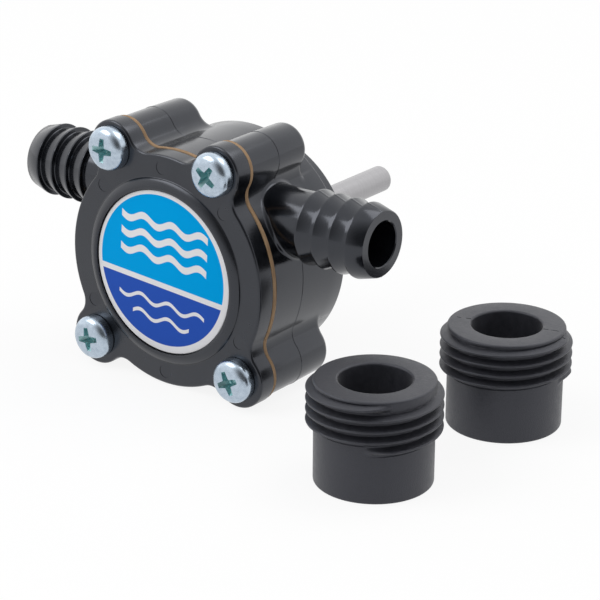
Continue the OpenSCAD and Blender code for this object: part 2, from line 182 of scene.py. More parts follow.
@dataclass(frozen=True)
class Axis:
    """An axis of turning, with the two directions in which its rings lie."""

    origin: Vector
    across: Vector
    aside: Vector
    along: Vector

    def point(self, r: float, angle: float, level: float) -> Vector:
        """Gives the place at a radius, an angle in radians and a level, in metres."""
        flat = self.across * (r * math.cos(angle)) + self.aside * (r * math.sin(angle))
        return (self.origin + flat + self.along * level) * MM

    def ring(self, r: float, level: float, count: int) -> Ring:
        """Gives evenly spread places on a circle."""
        return [self.point(r, TURN * i / count, level) for i in range(count)]


PUMP_AXIS = Axis(Vector((0, 0, 0)), X, Z, -Y)


class Loft:
    """A closed skin, begun as a filled circle and grown by extruding its end face from ring to ring."""

    def __init__(self, name: str, ring: Ring) -> None:
        """Adds the first ring.

        Args:
            name: Name of the new object.
            ring: Places of the first ring, in metres.
        """
        deselect_all()
        bpy.ops.mesh.primitive_circle_add(vertices=len(ring), radius=MM, fill_type="NGON")
        self.piece = bpy.context.object
        self.piece.name = name
        self.rim = list(range(len(ring)))
        bpy.ops.object.mode_set(mode="EDIT")
        bpy.ops.mesh.select_mode(type="FACE")
        bpy.ops.mesh.select_all(action="SELECT")
        self._place(ring)

    def _place(self, ring: Ring) -> None:
        """Moves the corners of the end face onto a ring.

        Args:
            ring: Places of the ring, in metres.
        """
        mesh = bmesh.from_edit_mesh(self.piece.data)
        mesh.verts.ensure_lookup_table()
        for index, place in zip(self.rim, ring):
            mesh.verts[index].co = place
        bmesh.update_edit_mesh(self.piece.data)

    def to(self, ring: Ring) -> None:
        """Extrudes the end face and moves it onto the next ring.

        Args:
            ring: Places of the next ring, in metres.
        """
        bpy.ops.mesh.extrude_region_move()
        mesh = bmesh.from_edit_mesh(self.piece.data)
        mesh.verts.index_update()
        face = next(f for f in mesh.faces if f.select)
        moved = {}
        for vert in face.verts:
            for edge in vert.link_edges:
                old = edge.other_vert(vert)
                if not old.select:
                    moved[old.index] = vert.index
        self.rim = [moved[index] for index in self.rim]
        self._place(ring)

    def done(self, angle: float) -> Piece:
        """Leaves edit mode, smooths the skin and gives it."""
        smooth(self.piece, angle)
        return self.piece


def loft(name: str, rings: Sequence[Ring], angle: float = CREASE) -> Piece:
    """Draws a closed skin through a row of rings.

    Args:
        name: Name of the new object.
        rings: The rings, in metres, all with the same number of places.
        angle: Edges flatter than this, in degrees, are shaded smooth.

    Returns:
        The new object.
    """
    skin = Loft(name, rings[0])
    for ring in rings[1:]:
        skin.to(ring)
    return skin.done(angle)


def turned(name: str, axis: Axis, profile: Sequence[Flat], count: int = 128, angle: float = CREASE) -> Piece:
    """Makes a turned piece from a profile of radii and levels, closed by a flat face at each end."""
    return loft(name, [axis.ring(r, level, count) for r, level in profile], angle)


def spun(name: str, axis: Axis, profile: Sequence[Flat], steps: int) -> Piece:
    """Spins a closed profile that stays clear of the axis, as a lathe would.

    Args:
        name: Name of the new object.
        axis: The axis of turning.
        profile: Radii and levels of the profile's corners, in order.
        steps: Number of steps round the axis.

    Returns:
        The spun object.
    """
    deselect_all()
    bpy.ops.mesh.primitive_circle_add(vertices=len(profile), radius=MM, fill_type="NOTHING")
    piece = bpy.context.object
    piece.name = name
    for vert, (r, level) in zip(piece.data.vertices, profile):
        vert.co = axis.point(r, 0.0, level)
    bpy.ops.object.mode_set(mode="EDIT")
    bpy.ops.mesh.select_all(action="SELECT")
    bpy.ops.mesh.spin(steps=steps, angle=TURN, center=axis.origin * MM, axis=axis.along)
    bpy.ops.mesh.select_all(action="SELECT")
    bpy.ops.mesh.remove_doubles(threshold=WELD * MM)
    bpy.ops.object.mode_set(mode="OBJECT")
    smooth(piece)
    return piece


def drawn(middle: Vector, out: Vector, wide: Vector, corners: Sequence[Flat]) -> Ring:
    """Draws corners about a middle along two directions, and gives them in metres."""
    return [(middle + out * u + wide * v) * MM for u, v in corners]


def quarter_turn(steps: int) -> list[float]:
    """Gives the angles of a quarter turn in even steps, with both ends."""
    return [math.pi / 2 * i / steps for i in range(steps + 1)]


def round_edge(
    r: float, level: float, edge: float, steps: int = EDGE_STEPS, rising: bool = True
) -> list[Flat]:
    """Gives a quarter circle of a profile that turns from a wall of radius r onto a level face.

    Args:
        r: Radius of the wall.
        level: Level of the face.
        edge: Radius of the rounding.
        steps: Number of steps.
        rising: True where the profile comes up the wall, false where it goes on down it.

    Returns:
        Radii and levels from the wall to the face.
    """
    sign = 1 if rising else -1
    turns = quarter_turn(steps)
    return [(r - edge + edge * math.cos(t), level - sign * edge * (1 - math.sin(t))) for t in turns]


def arc(centre: Vector, r: float, start: Vector, end: Vector, steps: int, turn: int) -> list[Flat]:
    """Gives places on an arc without its last one.

    Args:
        centre: Centre of the circle.
        r: Its radius.
        start: Direction in which the arc starts.
        end: Direction in which it ends.
        steps: Number of places.
        turn: 1 to go anticlockwise, -1 to go clockwise.

    Returns:
        The places.
    """
    first = math.atan2(start.y, start.x)
    sweep = (turn * (math.atan2(end.y, end.x) - first)) % TURN
    angles = [first + turn * sweep * i / steps for i in range(steps)]
    return [(centre.x + r * math.cos(a), centre.y + r * math.sin(a)) for a in angles]


@dataclass(frozen=True)
class Lobe:
    """A round lobe that holds one screw."""

    x: float
    z: float
    r: float

    @property
    def centre(self) -> Vector:
        """Centre of the lobe."""
        return Vector((self.x, self.z))


@dataclass(frozen=True)
class Outline:
    """A round body and its lobes, joined by hollow webs that touch both."""

    body: float
    lobes: tuple[Lobe, ...]
    web: float = 4.0
    web_depth: float = 1.0
    web_steps: int = 9
    lobe_steps: int = 26
    body_steps: int = 34

    def web_centre(self, lobe: Lobe, side: int) -> Vector:
        """Finds the centre of the hollow on one side of a lobe.

        Args:
            lobe: The lobe.
            side: -1 for the hollow before it and 1 for the one after it, going anticlockwise.

        Returns:
            The centre.
        """
        place, reach = lobe.centre, lobe.centre.length
        a, b = self.body + self.web, lobe.r + self.web
        along = (a * a - b * b + reach * reach) / (2 * reach)
        out = place / reach
        return out * along + Vector((-out.y, out.x)) * side * math.sqrt(a * a - along * along)

    def points(self, inset: float = 0.0) -> list[Flat]:
        """Draws the outline anticlockwise.

        Args:
            inset: How far it is drawn in.

        Returns:
            Its places.
        """
        centre, places = Vector((0, 0)), []
        for i, lobe in enumerate(self.lobes):
            before, after = self.web_centre(lobe, -1), self.web_centre(lobe, 1)
            beyond = self.web_centre(self.lobes[(i + 1) % len(self.lobes)], -1)
            tip, hollow = lobe.centre, self.web + inset
            places += arc(before, hollow, -before, tip - before, self.web_steps, -1)
            places += arc(tip, lobe.r - inset, before - tip, after - tip, self.lobe_steps, 1)
            places += arc(after, hollow, tip - after, -after, self.web_steps, -1)
            places += arc(centre, self.body - inset, after, beyond, self.body_steps, 1)
        return places

    def shrunk(self, by: float) -> "Outline":
        """Gives an outline whose lobes are smaller, on the same body."""
        return replace(self, lobes=tuple(replace(lobe, r=lobe.r - by) for lobe in self.lobes))

    def nearest(self, place: Vector) -> tuple[float, Vector]:
        """Finds how far a place outside lies from the outline.

        Args:
            place: The place.

        Returns:
            Its distance, and the nearest place on the outline.
        """
        found = [(place.length - self.body, place.normalized() * self.body)]
        for lobe in self.lobes:
            away = place - lobe.centre
            found.append((away.length - lobe.r, lobe.centre + away.normalized() * lobe.r))
            for side in (-1, 1):
                hollow = self.web_centre(lobe, side)
                inwards = place - hollow
                if not 0 < inwards.length < self.web + self.web_depth:
                    continue
                to_body, to_lobe = -hollow, lobe.centre - hollow
                middle = to_body.normalized() + to_lobe.normalized()
                if inwards.normalized().dot(middle.normalized()) > math.cos(to_body.angle(to_lobe) / 2):
                    found.append((self.web - inwards.length, hollow + inwards.normalized() * self.web))
        return min(found, key=lambda item: item[0])


def level_ring(places: Sequence[Flat], level: float) -> Ring:
    """Sets flat places at a level of the pump."""
    return [Vector((x, -level, z)) * MM for x, z in places]


def on_circle(places: Sequence[Flat], r: float) -> list[Flat]:
    """Moves flat places out or in onto a circle, each in its own direction."""
    return [(x * r / math.hypot(x, z), z * r / math.hypot(x, z)) for x, z in places]


def add_node(
    tree: Tree,
    kind: str,
    settings: dict[str, object] | None = None,
    inputs: dict[str | int, object] | None = None,
) -> bpy.types.Node:
    """Adds a shader node.

    Args:
        tree: The material's node tree.
        kind: The node's type.
        settings: Properties of the node.
        inputs: Values or sockets for its inputs, by name or number.

    Returns:
        The new node.
    """
    node = tree.nodes.new(kind)
    for key, value in (settings or {}).items():
        setattr(node, key, value)
    for key, value in (inputs or {}).items():
        if isinstance(value, Socket):
            tree.links.new(value, node.inputs[key])
        else:
            node.inputs[key].default_value = value
    return node


def sum_of(tree: Tree, kind: str, first: object, second: object = 0.0) -> Socket:
    """Works out one sum of two values or sockets."""
    return add_node(tree, "ShaderNodeMath", {"operation": kind}, {0: first, 1: second}).outputs[0]


def grain_scale(size: float) -> float:
    """Gives the noise scale at which a pattern's features are about a size in millimetres."""
    return 1.0 / (size * MM)


@dataclass(frozen=True)
class Finish:
    """A surface: what it is made of and how it was made."""

    name: str
    colour: str
    second_colour: str
    roughness: float
    roughness_spread: float
    patch_size: float
    grain_size: float
    grain_depth: float
    metallic: float = 0.0
    ior: float = 1.5
    gloss_tint: str = "#ffffff"
    sheen: float = 0.0
    sheen_roughness: float = 0.35
    grain_detail: float = 3.0
    patch_detail: float = 4.0
    patch_roughness: float = 0.6
    patch_range: Flat = (0.32, 0.68)

    def coordinates(self, tree: Tree) -> Socket:
        """Gives the coordinates that the patterns follow."""
        return add_node(tree, "ShaderNodeTexCoord").outputs["Object"]

    def grain(self, tree: Tree, place: Socket) -> Socket:
        """Gives the height of the finest relief, from 0 to 1."""
        inputs = {"Vector": place, "Scale": grain_scale(self.grain_size), "Detail": self.grain_detail}
        return add_node(tree, "ShaderNodeTexNoise", inputs=inputs).outputs[0]

    def patches(self, tree: Tree, place: Socket) -> Socket:
        """Makes the slow change from one colour to the other.

        Args:
            tree: The material's node tree.
            place: The coordinates.

        Returns:
            A share from 0 to 1.
        """
        inputs = {"Vector": place, "Scale": grain_scale(self.patch_size), "Detail": self.patch_detail}
        inputs["Roughness"] = self.patch_roughness
        noise = add_node(tree, "ShaderNodeTexNoise", inputs=inputs).outputs[0]
        low, high = self.patch_range
        return add_node(tree, "ShaderNodeMapRange", inputs={0: noise, 1: low, 2: high}).outputs[0]

    def colour_socket(self, tree: Tree, place: Socket, patches: Socket) -> Socket:
        """Gives the surface's colour."""
        inputs = {0: patches, 6: srgb(self.colour), 7: srgb(self.second_colour)}
        return add_node(tree, "ShaderNodeMix", {"data_type": "RGBA"}, inputs).outputs[2]

    def material(self) -> bpy.types.Material:
        """Makes the material once and gives it again when asked again.

        Returns:
            The material.
        """
        if self.name in bpy.data.materials:
            return bpy.data.materials[self.name]
        material = bpy.data.materials.new(self.name)
        material.use_nodes = True
        tree = material.node_tree
        shader = tree.nodes["Principled BSDF"]
        shader.inputs["Metallic"].default_value = self.metallic
        shader.inputs["IOR"].default_value = self.ior
        shader.inputs["Specular Tint"].default_value = srgb(self.gloss_tint)
        shader.inputs["Sheen Weight"].default_value = self.sheen
        shader.inputs["Sheen Roughness"].default_value = self.sheen_roughness
        place = self.coordinates(tree)
        patches = self.patches(tree, place)
        tree.links.new(self.colour_socket(tree, place, patches), shader.inputs["Base Color"])
        low, high = self.roughness - self.roughness_spread, self.roughness + self.roughness_spread
        rough = add_node(tree, "ShaderNodeMapRange", inputs={0: patches, 3: low, 4: high})
        tree.links.new(rough.outputs[0], shader.inputs["Roughness"])
        inputs = {"Height": self.grain(tree, place), "Strength": 1.0, "Distance": self.grain_depth * MM}
        tree.links.new(add_node(tree, "ShaderNodeBump", inputs=inputs).outputs[0], shader.inputs["Normal"])
        return material


@dataclass(frozen=True)
class DrawnOutFinish(Finish):
    """A finish whose pattern is drawn out or squeezed along the axes."""

    stretch: tuple[float, float, float] = (1.0, 1.0, 1.0)

    def coordinates(self, tree: Tree) -> Socket:
        """Gives the coordinates, scaled along each axis."""
        place = add_node(tree, "ShaderNodeTexCoord").outputs["Object"]
        return add_node(tree, "ShaderNodeMapping", inputs={"Vector": place, "Scale": self.stretch}).outputs[0]


@dataclass(frozen=True)
class GroundSteel(DrawnOutFinish):
    """Metal ground or turned round its length, so fine lines run round the axis along Y."""

    stretch: tuple[float, float, float] = (0.04, 1.0, 0.04)


@dataclass(frozen=True)
class FibreSheet(DrawnOutFinish):
    """Pressed fibre sheet, whose layers show as fine lines along its cut edge."""

    stretch: tuple[float, float, float] = (0.25, 1.6, 0.25)


@dataclass(frozen=True)
class PrintedFilm(Finish):
    """A printed label: blue fields in a white ring, with a generic pattern of water waves."""

    ring_inner: float = 16.6
    field_centre: Flat = (-0.25, 0.3)
    divider: float = -2.95
    divider_half: float = 0.62
    turn: float = -3.9
    upper: str = "#009fe3"
    lower: str = "#2d55b4"
    print_edge: float = 0.04
    wave_gap: float = 3.7
    wave_half: float = 0.78
    wave_length: float = 7.7
    wave_rise: float = 0.75
    wave_reach: float = 11.6
    wave_shares: tuple[float, ...] = (0.8, 1.8, 2.8)
    thin_lines: tuple[Flat, ...] = ((-7.3, 11.6), (-10.9, 7.7))
    thin_half: float = 0.42

    def colour_socket(self, tree: Tree, place: Socket, patches: Socket) -> Socket:
        """Prints the fields and the waves over the white film.

        Args:
            tree: The material's node tree.
            place: The coordinates.
            patches: The slow change between the film's two whites.

        Returns:
            The colour.
        """

        def all_of(*depths: Socket) -> Socket:
            """Gives the depth of what lies inside all the given shapes, below zero inside."""
            whole = depths[0]
            for depth in depths[1:]:
                whole = sum_of(tree, "MAXIMUM", whole, depth)
            return whole

        def mix(under: object, over: object, share: Socket) -> Socket:
            """Mixes one colour over another."""
            inputs = {0: share, 6: under, 7: over}
            return add_node(tree, "ShaderNodeMix", {"data_type": "RGBA"}, inputs).outputs[2]

        def ink(under: object, over: object, depth: Socket) -> Socket:
            """Prints one colour over another inside a shape, with an edge as sharp as print."""
            inputs = {0: depth, 1: self.print_edge, 2: -self.print_edge}
            return mix(under, over, add_node(tree, "ShaderNodeMapRange", inputs=inputs).outputs[0])

        inputs = {"Vector": place, "Rotation": (0, math.radians(self.turn), 0), "Scale": (1 / MM,) * 3}
        flat = add_node(tree, "ShaderNodeMapping", inputs=inputs).outputs[0]
        parts = add_node(tree, "ShaderNodeSeparateXYZ", inputs={0: flat})
        x, z = parts.outputs[0], parts.outputs[2]
        off_x, off_z = (sum_of(tree, "SUBTRACT", value, by) for value, by in zip((x, z), self.field_centre))
        square_x, square_z = (sum_of(tree, "MULTIPLY", value, value) for value in (off_x, off_z))
        r = sum_of(tree, "SQRT", sum_of(tree, "ADD", square_x, square_z))
        in_ring = sum_of(tree, "SUBTRACT", r, self.ring_inner)
        above = sum_of(tree, "SUBTRACT", self.divider + self.divider_half, z)
        below = sum_of(tree, "SUBTRACT", z, self.divider - self.divider_half)
        swing = sum_of(tree, "SINE", sum_of(tree, "MULTIPLY", x, TURN / self.wave_length))
        wavy = sum_of(tree, "SUBTRACT", z, sum_of(tree, "MULTIPLY", swing, self.wave_rise))
        across = sum_of(tree, "ABSOLUTE", x)

        def wave(level: float, half: float, reach: float) -> Socket:
            """Gives the depth of one wave line from its level, its half width and its sideways reach."""
            away = sum_of(tree, "ABSOLUTE", sum_of(tree, "SUBTRACT", wavy, level))
            return all_of(sum_of(tree, "SUBTRACT", away, half), sum_of(tree, "SUBTRACT", across, reach))

        lines = [wave(self.wave_gap * share, self.wave_half, self.wave_reach) for share in self.wave_shares]
        lines += [wave(level, self.thin_half, reach) for level, reach in self.thin_lines]
        film = mix(srgb(self.colour), srgb(self.second_colour), patches)
        colour = ink(film, srgb(self.upper), all_of(in_ring, above))
        colour = ink(colour, srgb(self.lower), all_of(in_ring, below))
        for line in lines:
            colour = ink(colour, film, line)
        return colour


# Glass-filled nylon, moulded in a polished tool: near black, with a soft gloss and faint flow marks
BLACK_NYLON = Finish(
    "moulded_black_nylon", "#0a0b0e", "#101216", 0.17, 0.03, 4.0, 0.5, 0.004, ior=1.62, gloss_tint="#edf2ff"
)
# The same nylon where the tool is a little duller
COVER_NYLON = replace(BLACK_NYLON, name="moulded_black_nylon_cover", roughness=0.25, ior=1.63)
# Soft PVC, moulded matt: charcoal, with a fine sandy grain that spreads every highlight
SOFT_PVC = Finish(
    "moulded_soft_pvc", "#1b1c22", "#24252b", 0.5, 0.05, 1.2, 0.28, 0.05,
    ior=1.6, gloss_tint="#f2f4ff", sheen=0.2,
)
# Steel, electroplated with zinc and passivated clear: bright, slightly blue, with uneven small patches
ZINC_PLATE = Finish("zinc_plated_steel", "#bcc9d6", "#aab8c6", 0.25, 0.07, 0.9, 0.3, 0.006, metallic=1.0)
# The same plating on the recess walls: green-blue where the passivate gathers, darkened there as painted
# shade, and duller
ZINC_POOL_AND_SHADE = Finish("zinc_passivate_pool_painted_shade", "#94c0c4", "#b4d3d4", 0.45, 0.06, 0.6, 0.3, 0.01, metallic=1.0)
# Carbon steel bar, centreless ground: grey and satin, with fine lines round it
GROUND_BAR = GroundSteel("ground_steel", "#a09fa1", "#a8a7a9", 0.38, 0.03, 0.5, 0.12, 0.001, metallic=1.0)
# Compressed fibre gasket sheet: tan, dull, with short darker fibres
GASKET_FIBRE = FibreSheet("compressed_fibre", "#a98b6a", "#8c7054", 0.82, 0.04, 0.8, 0.2, 0.03)
# Polyester film, printed on its face: white base under blue inks, with hardly any gloss
LABEL_FILM = PrintedFilm("printed_polyester_film", "#e9e9eb", "#e5e5e8", 0.34, 0.02, 6.0, 0.8, 0.001, ior=1.08)
# Sintered bronze: brown-gold and dull, because it is porous
SINTERED_BRONZE = Finish("sintered_bronze", "#a5793f", "#8c6534", 0.5, 0.06, 0.8, 0.15, 0.008, metallic=1.0)
# Turned brass: yellow and bright
TURNED_BRASS = GroundSteel("turned_brass", "#c9a557", "#b8944a", 0.3, 0.05, 0.8, 0.15, 0.003, metallic=1.0)
# Spring steel, stamped and oiled: dark grey and smooth
SPRING_STEEL = Finish("oiled_spring_steel", "#6e6d6c", "#5c5b5b", 0.33, 0.06, 1.0, 0.2, 0.004, metallic=1.0)
# Mild steel, deep drawn: grey, with a soft sheen
DRAWN_STEEL = Finish("drawn_steel", "#b8b6b3", "#a6a4a2", 0.34, 0.05, 1.5, 0.2, 0.003, metallic=1.0)
# Nitrile rubber, moulded: black and dull
NITRILE = Finish("moulded_nitrile", "#1f1f20", "#272728", 0.62, 0.05, 1.5, 0.2, 0.008, ior=1.52)


@dataclass(frozen=True)
class Levels:
    """Levels of the main faces, read from the frame."""

    gasket_back: float
    gasket_front: float
    label_back: float
    label_front: float
    shaft_back: float
    shaft_front: float

    @classmethod
    def from_frame(cls) -> "Levels":
        """Reads the back and the front of each node that sets a level."""
        boxes = [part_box(node) for node in ("cover_gasket", "cover_label", "drive_shaft")]
        return cls(*(-corner.y / MM for low, high in boxes for corner in (high, low)))


LEVELS = Levels.from_frame()
LOBES = (Lobe(13.9, 24.5, 5.8), Lobe(-13.9, 24.5, 5.8), Lobe(-19.3, -19.2, 6.5), Lobe(19.3, -19.2, 6.5))
SCREW_PLACES = [(lobe.x, lobe.z) for lobe in LOBES]
SCREW_HOLE_R = 2.6
BODY_R = 25.5
CHAMBER_R = 19.0
FLANGE = 4.3


def drill(places: Sequence[Flat], r: float, low: float, high: float, count: int = 64) -> Piece:
    """Makes one cutter with a round bar at each place.

    Args:
        places: Where the bars stand, across the pump.
        r: Their radius.
        low: The level at which they start.
        high: The level at which they end.
        count: Number of sides of each bar.

    Returns:
        The cutter.
    """
    axes = [Axis(Vector((x, 0, z)), X, Z, -Y) for x, z in places]
    return join_pieces([turned("bar", axis, [(r, low), (r, high)], count) for axis in axes], "drill")


@dataclass
class Cover:
    """The front cover with its raised disc, the label and the gasket."""

    edge: float = 0.6
    seat_edge: float = 0.15
    edge_steps: int = 6
    disc_r: float = 20.3
    disc_foot: float = 0.3
    crown_r: float = 18.6
    crown_power: float = 1.5
    crown_steps: int = 10
    lip_rise: float = 0.5
    lip_edge: tuple[Flat, ...] = ((0.15, 0.02), (0.04, 0.07), (0.0, 0.2))
    mark_r: float = 1.45
    mark_depth: float = 0.08
    mark_reach: float = 22.7
    mark_angles: tuple[float, ...] = (45.8, 91.0, 136.5, 209.0, 269.4, 331.0)
    label_r: float = 17.8
    label_margin: float = 0.25
    label_edge: float = 0.1
    label_edge_steps: int = 3
    label_steps: int = 192
    gasket_proud: float = 0.2
    gasket_lobe_inset: float = 0.08
    gasket_edge: float = 0.125
    cut_waves: tuple[tuple[int, float], ...] = ((9, 0.5), (23, 0.3))
    cut_depth: float = 0.05
    cut_phase: float = 0.4

    def cover(self) -> Piece:
        """Models the cover, from its rear face over the disc to the seat of the label.

        Returns:
            The cover.
        """
        back, front = LEVELS.gasket_front, LEVELS.gasket_front + FLANGE
        outline = Outline(BODY_R, LOBES)
        rings = [level_ring(outline.points(self.seat_edge), back)]
        rings.append(level_ring(outline.points(), back + self.seat_edge))
        for r, level in round_edge(0.0, front, self.edge, self.edge_steps):
            rings.append(level_ring(outline.points(-r), level))
        flat = outline.points(self.edge)
        rows = []
        for t in quarter_turn(self.edge_steps):
            r, rise = self.disc_foot * (1 - math.sin(t)), self.disc_foot * (1 - math.cos(t))
            rows.append((self.disc_r + r, front + rise))
        foot, crown = front + self.disc_foot, LEVELS.label_front + self.lip_rise
        for t in quarter_turn(self.crown_steps):
            out, up = math.cos(t) ** self.crown_power, math.sin(t) ** self.crown_power
            rows.append((self.crown_r + (self.disc_r - self.crown_r) * out, foot + (crown - foot) * up))
        seat_r = self.label_r + self.label_margin
        rows += [(seat_r + wide, crown - down) for wide, down in self.lip_edge]
        rows.append((seat_r, LEVELS.label_back))
        rings += [level_ring(on_circle(flat, r), level) for r, level in rows]
        piece = loft("front_cover_shell", rings)
        turns = [math.radians(a) for a in self.mark_angles]
        marks = [(self.mark_reach * math.cos(a), self.mark_reach * math.sin(a)) for a in turns]
        combine(piece, drill(marks, self.mark_r, front - self.mark_depth, front + OVER), Combine.CUT)
        combine(piece, drill(SCREW_PLACES, SCREW_HOLE_R, back - OVER, front + OVER), Combine.CUT)
        smooth(piece)
        return piece

    def label(self) -> Piece:
        """Models the thin round label."""
        profile = [(self.label_r, LEVELS.label_back)]
        profile += round_edge(self.label_r, LEVELS.label_front, self.label_edge, self.label_edge_steps)
        return turned("printed_label", PUMP_AXIS, profile, self.label_steps)

    def uneven(self, places: Sequence[Flat], phase: float) -> list[Flat]:
        """Moves the gasket's cut edge in by a few hundredths here and there.

        Args:
            places: Places on the edge.
            phase: Where the unevenness starts, in radians.

        Returns:
            The moved places.
        """
        moved = []
        for x, z in places:
            a = math.atan2(z, x)
            waves = enumerate(self.cut_waves, start=1)
            inset = sum(height * (1 + math.sin(count * a + i * phase)) for i, (count, height) in waves)
            share = 1 - inset * self.cut_depth / BODY_R
            moved.append((x * share, z * share))
        return moved

    def gasket(self) -> Piece:
        """Models the gasket, which stands slightly proud of the housing.

        Returns:
            The gasket.
        """
        back, front, edge = LEVELS.gasket_back, LEVELS.gasket_front, self.gasket_edge
        outline = Outline(BODY_R + self.gasket_proud, LOBES).shrunk(self.gasket_lobe_inset)
        rings, rows = [], [(edge, back), (0.0, back + edge), (0.0, front - edge), (edge, front)]
        for i, (inset, level) in enumerate(rows):
            rings.append(level_ring(self.uneven(outline.points(inset), i * self.cut_phase), level))
        piece = loft("fibre_gasket", rings)
        low, high = back - OVER, front + OVER
        combine(piece, turned("hole", PUMP_AXIS, [(CHAMBER_R, low), (CHAMBER_R, high)]), Combine.CUT)
        combine(piece, drill(SCREW_PLACES, SCREW_HOLE_R, low, high), Combine.CUT)
        smooth(piece)
        return piece

    def build(self) -> None:
        """Models the three pieces and ties them to the pump."""
        finish_piece(self.cover(), "pump", ["front_cover"], COVER_NYLON)
        finish_piece(self.label(), "pump", ["cover_label"], LABEL_FILM)
        finish_piece(self.gasket(), "pump", ["cover_gasket"], GASKET_FIBRE)


@dataclass
class Housing:
    """The moulded housing: round body, hub, four bosses, two hose barbs, ports and chamber."""

    boss_inset: float = 0.5
    boss_back: float = 11.2
    boss_edge: float = 1.6
    boss_draft: float = 0.15
    boss_edge_steps: int = 8
    boss_wall_gap: float = 0.2
    hub_r: float = 21.5
    hub_len: float = 6.5
    hub_foot: float = 0.5
    rear_edge: float = 0.45
    front_edge: float = 0.15
    seam_rise: float = 0.07
    seam_half: float = 0.08
    barb_z: float = 12.4
    barb_level: float = 21.1
    barb_reach: float = 45.5
    barb_steps: int = 192
    tip_chamfer: float = 0.15
    root_r: float = 7.05
    ridge_r: float = 8.0
    ridge_pitch: float = 4.14
    ridge_land: float = 0.4
    ridge_step: float = 0.15
    ridge_groove: float = 1.1
    ridge_count: int = 4
    crest_blend: float = 0.1
    crest_soft: float = 0.08
    foot_soft: float = 0.12
    fillet: float = 1.1
    fillet_sunk: float = 0.03
    fillet_inward: float = 2.5
    fillet_steps: int = 7
    search_step: float = 0.5
    search_halvings: int = 24
    port_r: float = 4.8
    port_chamfer: float = 0.2
    port_sides: int = 96
    chamber_back: float = 12.0
    chamber_steps: int = 192
    cam_lift: float = 3.2
    cam_r: float = 26.0
    screw_hole_depth: float = 12.2
    # Radius and front end of each bore of the hub: clip recess, bush seat, slinger space, seal seat
    hub_bores: tuple[Flat, ...] = ((5.9, 2.37), (5.02, 6.17), (5.5, 7.57), (8.02, 13.0))
    shade_angle: float = 30.0
    outline: Outline = field(init=False)

    def __post_init__(self) -> None:
        """Works out the outline of the body and its bosses at the gasket."""
        self.outline = Outline(BODY_R, LOBES).shrunk(self.boss_inset)

    def body(self) -> Piece:
        """Models the body with its bosses and its hub, from the gasket to the rear.

        Returns:
            The solid body.
        """
        front, outline = LEVELS.gasket_back, self.outline
        rings = [level_ring(outline.points(self.front_edge), front)]
        rings.append(level_ring(outline.points(), front - self.front_edge))
        for offset, rise in ((self.seam_half, 0.0), (0.0, self.seam_rise), (-self.seam_half, 0.0)):
            rings.append(level_ring(outline.points(-rise), self.barb_level + offset))
        for t in quarter_turn(self.boss_edge_steps):
            by = self.boss_draft + self.boss_edge * (1 - math.cos(t))
            level = self.boss_back + self.boss_edge * (1 - math.sin(t))
            rings.append(level_ring(outline.shrunk(by).points(), level))
        rows = [(BODY_R, self.boss_back - self.boss_wall_gap)]
        rows += round_edge(BODY_R, self.hub_len, self.rear_edge, rising=False)
        for t in quarter_turn(EDGE_STEPS):
            out, down = self.hub_foot * (1 - math.sin(t)), self.hub_foot * (1 - math.cos(t))
            rows.append((self.hub_r + out, self.hub_len - down))
        rows += round_edge(self.hub_r, 0.0, self.rear_edge, rising=False)
        flat = outline.shrunk(self.boss_draft + self.boss_edge).points()
        rings += [level_ring(on_circle(flat, r), level) for r, level in rows]
        return loft("pump_housing_shell", rings)

    def barb_ring(self, side: int, r: float, x: float) -> Ring:
        """Makes a ring round a barb, with the raised mould seam along its top and bottom.

        Args:
            side: 1 for the right barb and -1 for the left one.
            r: Radius of the ring.
            x: Its distance from the pump's axis.

        Returns:
            The ring.
        """
        ring = []
        for i in range(self.barb_steps):
            at_seam = i % (self.barb_steps // 2) == self.barb_steps // 4
            reach, angle = r + at_seam * self.seam_rise, TURN * i / self.barb_steps
            y, z = -self.barb_level + reach * math.cos(angle), self.barb_z + reach * math.sin(angle)
            ring.append(Vector((side * x, y, z)) * MM)
        return ring

    def ball_place(self, z: float) -> tuple[float, Vector]:
        """Rolls the fillet's ball inwards at a height until it rests on the body.

        Args:
            z: Height of the ball's centre.

        Returns:
            The centre's distance from the pump's axis, and the place where the ball touches.
        """
        x, step, gap = self.barb_reach, self.search_step, self.fillet - self.fillet_sunk
        while self.outline.nearest(Vector((x, z)))[0] > gap:
            x -= step
        for _ in range(self.search_halvings):
            step /= 2
            x += step if self.outline.nearest(Vector((x, z)))[0] < gap else -step
        return x, self.outline.nearest(Vector((x, z)))[1]

    def fillet_rings(self, side: int) -> list[Ring]:
        """Rolls a ball along the corner between a barb and the body.

        Args:
            side: 1 for the right barb and -1 for the left one.

        Returns:
            Rings from the barb to just under the body's surface, and one well inside.
        """
        columns = []
        for i in range(self.barb_steps):
            angle, reach = TURN * i / self.barb_steps, self.root_r + self.fillet
            y, z = reach * math.cos(angle) - self.barb_level, reach * math.sin(angle) + self.barb_z
            x, foot = self.ball_place(z)
            centre = Vector((side * x, y, z))
            to_barb = Vector((0, -math.cos(angle), -math.sin(angle)))
            to_body = (Vector((side * foot.x, y, foot.y)) - centre).normalized()
            gap = to_barb.angle(to_body)
            column = []
            for share in (k / self.fillet_steps for k in range(self.fillet_steps + 1)):
                near, far = math.sin((1 - share) * gap), math.sin(share * gap)
                way = (to_barb * near + to_body * far) / math.sin(gap)
                column.append((centre + way * self.fillet) * MM)
            column.append(column[-1] + to_body * self.fillet_inward * MM)
            columns.append(column)
        return [list(ring) for ring in zip(*columns)]

